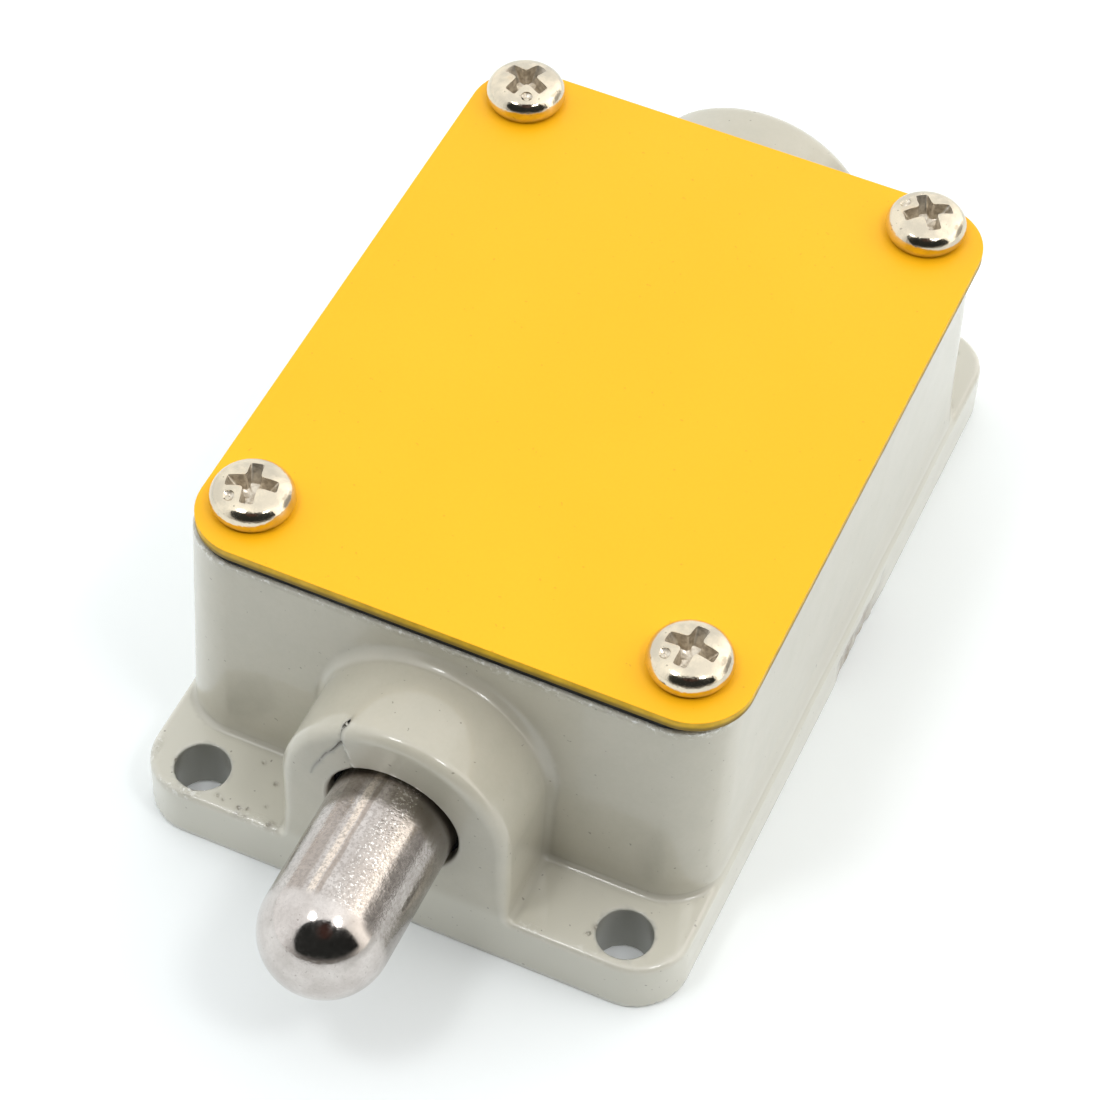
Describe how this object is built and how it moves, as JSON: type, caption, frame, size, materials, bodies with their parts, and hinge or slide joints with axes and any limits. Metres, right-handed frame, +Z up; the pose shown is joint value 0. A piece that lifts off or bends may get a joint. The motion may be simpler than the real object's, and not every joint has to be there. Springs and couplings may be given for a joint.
{
  "type": "limit switch",
  "caption": "Plunger limit switch: a die-cast flanged case with a screwed yellow cover, a sprung round-nosed plunger, a rear cable entry and a double-break contact block inside.",
  "frame": {"origin": "centre of the underside of the flange", "axes": "+Z up out of the cover, -Y along the plunger's nose, +Y to the cable entry, +X to the right seen from the plunger side with the cover up"},
  "size_m": [0.0555, 0.1076, 0.0353],
  "materials": {
    "painted_casting": "gloss",
    "cover_yellow": "satin",
    "black_rubber": "matte",
    "nickel_plate": "polished",
    "plunger_steel": "polished",
    "spring_steel": "satin",
    "bronze": "satin",
    "brass_strip": "satin",
    "silver_contact": "satin",
    "phenolic_black": "satin",
    "carrier_moulding": "matte",
    "insulating_board": "satin"
  },
  "bodies": {
    "case": {"housing": "painted_casting", "cover_gasket": "black_rubber", "cover_plate": "cover_yellow", "earth_washer": "brass_strip", "earth_screw": "brass_strip", "plunger_seal": "black_rubber", "guide_bush": "bronze", "spring_seat": "spring_steel", "contact_block": "phenolic_black", "contact_shield": "insulating_board", "cover_screw_front_left": "nickel_plate", "cover_screw_front_right": "nickel_plate", "cover_screw_rear_left": "nickel_plate", "cover_screw_rear_right": "nickel_plate", "nc_terminal_left": "brass_strip", "nc_clamp_left": "spring_steel", "nc_terminal_screw_left": "nickel_plate", "nc_fixed_tip_left": "silver_contact", "nc_terminal_right": "brass_strip", "nc_clamp_right": "spring_steel", "nc_terminal_screw_right": "nickel_plate", "nc_fixed_tip_right": "silver_contact", "no_terminal_left": "brass_strip", "no_clamp_left": "spring_steel", "no_terminal_screw_left": "nickel_plate", "no_fixed_tip_left": "silver_contact", "no_terminal_right": "brass_strip", "no_clamp_right": "spring_steel", "no_terminal_screw_right": "nickel_plate", "no_fixed_tip_right": "silver_contact", "block_screw_left": "nickel_plate", "shield_screw_left": "nickel_plate", "block_screw_right": "nickel_plate", "shield_screw_right": "nickel_plate"},
    "plunger_set": {"plunger": "plunger_steel", "retaining_ring": "spring_steel", "contact_carrier": "carrier_moulding", "return_spring": "spring_steel", "nc_contact_spring": "spring_steel", "no_contact_spring": "spring_steel"},
    "nc_bridge_set": {"nc_bridge": "brass_strip", "nc_moving_tip_left": "silver_contact", "nc_moving_tip_right": "silver_contact"},
    "no_bridge_set": {"no_bridge": "brass_strip", "no_moving_tip_left": "silver_contact", "no_moving_tip_right": "silver_contact"}
  },
  "joints": [
    {"name": "plunger_slide", "type": "slide", "parent": "case", "child": "plunger_set", "axis": [0, 1, 0], "range_m": [0, 0.006], "stiffness_N_per_m": 1500, "springref_m": -0.006, "deforming": ["return_spring", "nc_contact_spring", "no_contact_spring"]},
    {"name": "nc_bridge_slide", "type": "slide", "parent": "case", "child": "nc_bridge_set", "axis": [0, 1, 0], "range_m": [0, 0.0048]},
    {"name": "no_bridge_slide", "type": "slide", "parent": "case", "child": "no_bridge_set", "axis": [0, 1, 0], "range_m": [0, 0.003]}
  ],
  "couplings": [
    {"joint": "nc_bridge_slide", "follows": "plunger_slide", "ratio": 0.8},
    {"joint": "no_bridge_slide", "follows": "plunger_slide", "ratio": 0.5}
  ]
}
